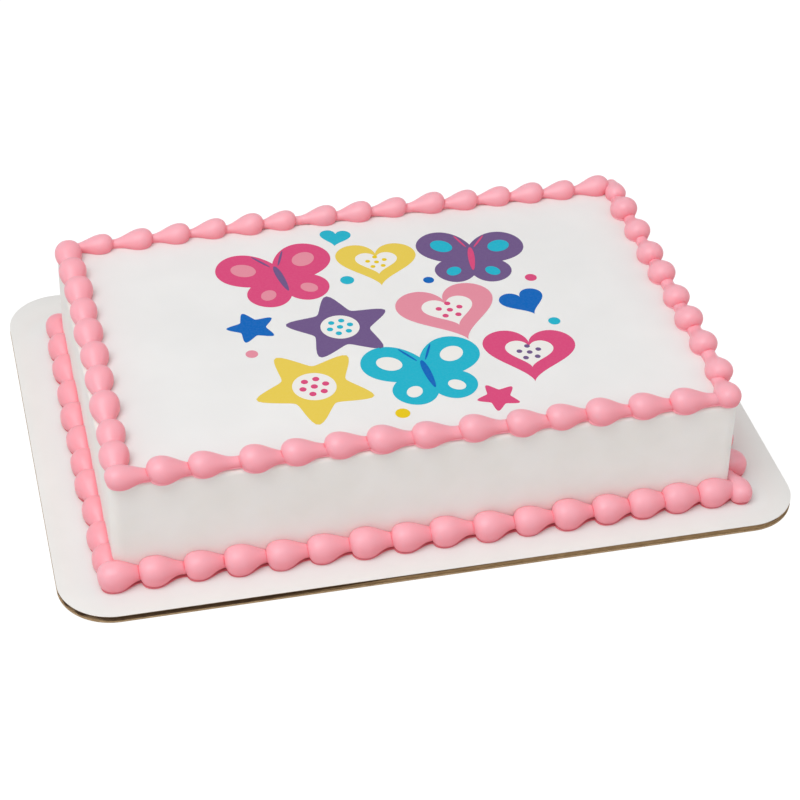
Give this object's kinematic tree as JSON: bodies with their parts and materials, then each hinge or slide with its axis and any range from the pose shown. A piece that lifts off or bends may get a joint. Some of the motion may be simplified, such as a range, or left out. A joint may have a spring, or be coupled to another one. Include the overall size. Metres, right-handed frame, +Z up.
{
  "type": "decorated sheet cake",
  "caption": "Rectangular iced sheet cake on a round-cornered cake board, with a printed icing sheet on top and piped bead borders along its top edge and its foot.",
  "frame": {"origin": "middle of the cake board's underside", "axes": "+X along the cake's long side, +Y from its front to its back, +Z up; the long front faces -Y"},
  "size_m": [0.3556, 0.254, 0.0702],
  "materials": {
    "white_card": "smooth white liner over brown corrugated card",
    "white_icing": "smoothed white buttercream, satin to matt",
    "icing_sheet": "thin matt icing sheet with flat coloured print",
    "pink_icing": "smooth piped pink buttercream, satin"
  },
  "bodies": {
    "root": {"cake_board": "white_card", "iced_cake": "white_icing", "printed_icing_sheet": "icing_sheet", "top_border_front": "pink_icing", "top_border_right": "pink_icing", "top_border_back": "pink_icing", "top_border_left": "pink_icing", "foot_border_front": "pink_icing", "foot_border_right": "pink_icing", "foot_border_back": "pink_icing", "foot_border_left": "pink_icing"}
  },
  "joints": []
}
